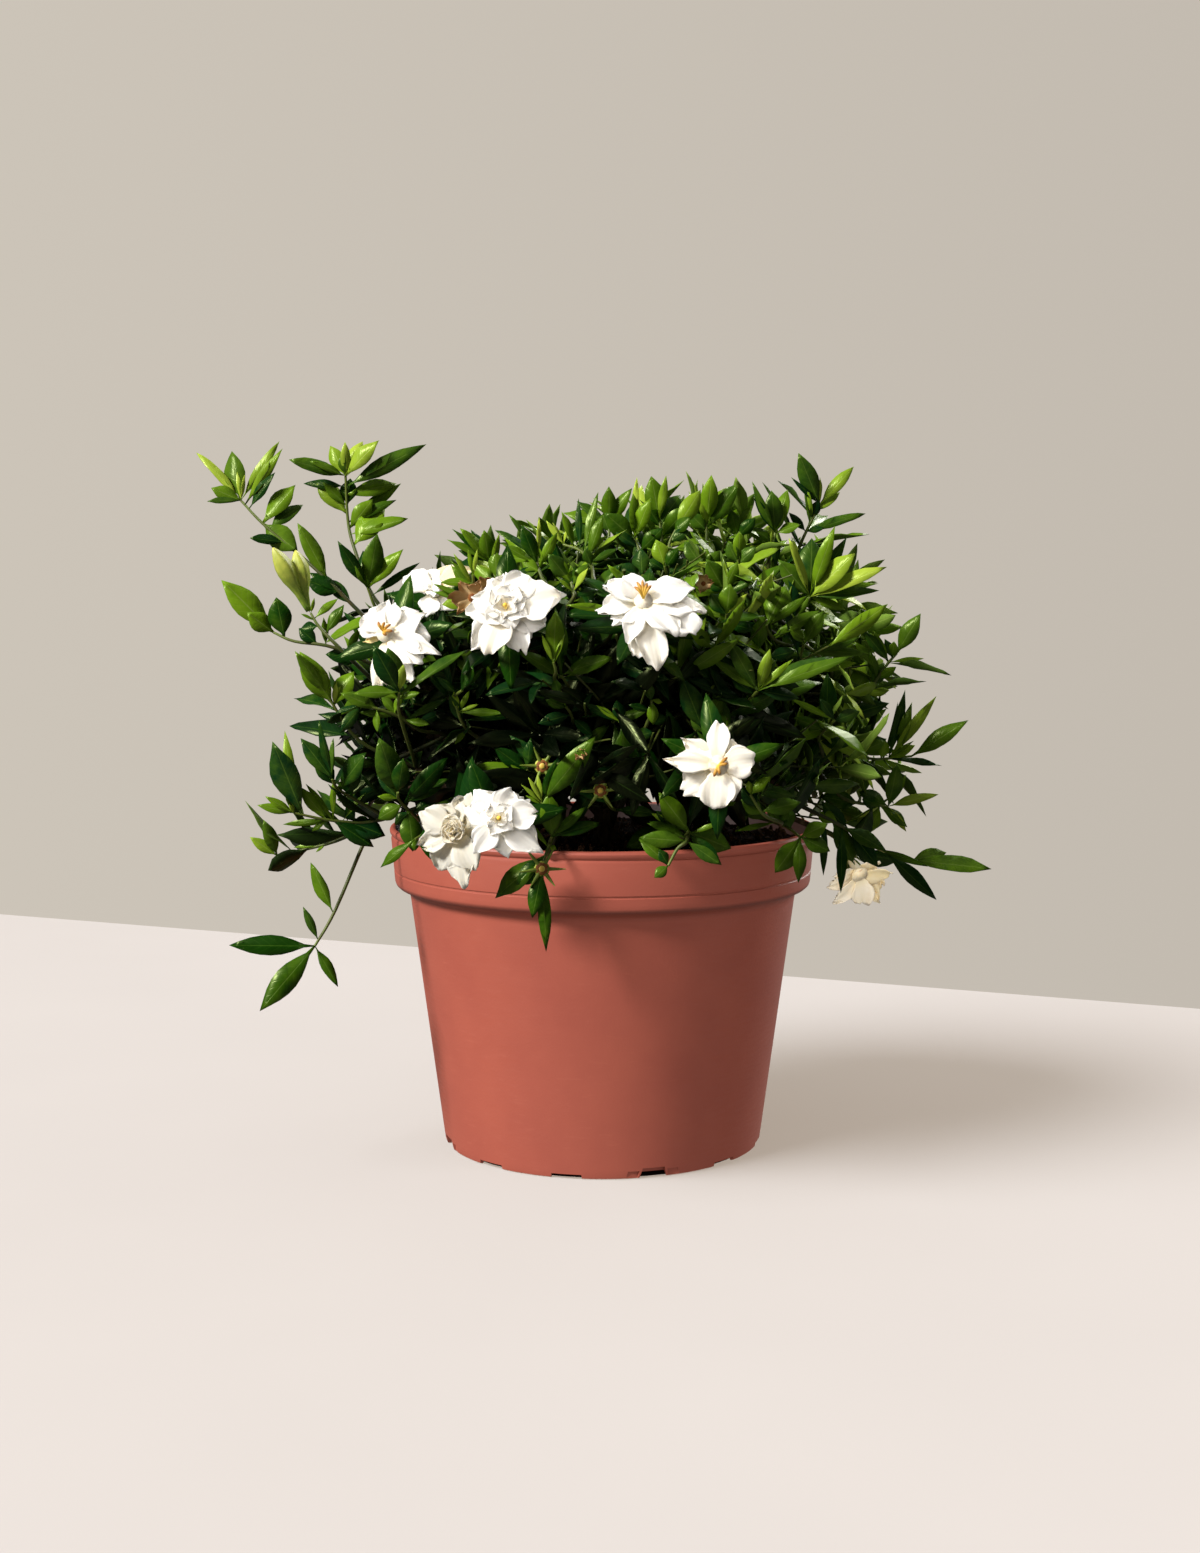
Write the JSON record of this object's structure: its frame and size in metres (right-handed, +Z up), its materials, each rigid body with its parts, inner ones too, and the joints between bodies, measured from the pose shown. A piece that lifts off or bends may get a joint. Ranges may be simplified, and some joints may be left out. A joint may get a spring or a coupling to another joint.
{
  "type": "potted gardenia",
  "caption": "Bushy gardenia shrub with glossy leaves, white double flowers and buds, growing in a tapered terracotta-coloured plastic nursery pot of soil.",
  "frame": {"origin": "on the pot's axis, at the ground, on the flat pad under the middle of the pot's floor", "axes": "+Z up, -Y towards the front that the flowers face, +X to the right as seen from the front"},
  "size_m": [0.374, 0.2903, 0.337],
  "materials": {
    "pot_plastic": "satin",
    "potting_soil": "matte",
    "bark": "matte",
    "leaf": "gloss",
    "petal": "matte",
    "bud": "satin"
  },
  "bodies": {
    "root": {"pot": "pot_plastic", "soil": "potting_soil", "woody_stems": "bark", "buds": "bud", "bloom_upper_left": "petal", "bloom_upper_mid": "petal", "bloom_upper_right": "petal", "bloom_lower_right": "petal", "bloom_rim": "petal", "bloom_rim_shaded": "petal", "bloom_behind": "petal", "bloom_hanging": "petal", "stalk_upper_left": "leaf", "stalk_upper_mid": "leaf", "stalk_upper_right": "leaf", "stalk_lower_right": "leaf", "stalk_rim": "leaf", "stalk_rim_shaded": "leaf", "stalk_behind": "leaf", "stalk_hanging": "leaf", "spray_far_left": "leaf", "spray_high_left": "leaf", "spray_mid_left": "leaf", "spray_budding": "leaf", "spray_low_left": "leaf", "spray_rim_left": "leaf", "spray_trailing": "leaf", "spray_rim_front_left": "leaf", "spray_right": "leaf", "spray_right_mid": "leaf", "spray_right_low": "leaf", "spray_spire": "leaf", "spray_upper_right": "leaf", "spray_front_right": "leaf", "spray_below_centre": "leaf", "spray_front_centre": "leaf", "spray_spent_left": "leaf", "spray_spent_centre": "leaf", "spray_rim_spill": "leaf", "spray_rim_right": "leaf", "spray_rim_far_right": "leaf", "spray_crown_1": "leaf", "spray_crown_2": "leaf", "spray_crown_3": "leaf", "spray_crown_4": "leaf", "spray_crown_5": "leaf", "spray_crown_6": "leaf", "spray_crown_7": "leaf", "spray_crown_8": "leaf", "spray_crown_9": "leaf", "spray_crown_10": "leaf", "spray_crown_11": "leaf", "spray_crown_12": "leaf", "spray_crown_13": "leaf", "spray_crown_14": "leaf", "spray_crown_15": "leaf", "spray_crown_16": "leaf", "spray_crown_17": "leaf", "spray_crown_18": "leaf", "spray_crown_19": "leaf"}
  },
  "joints": []
}
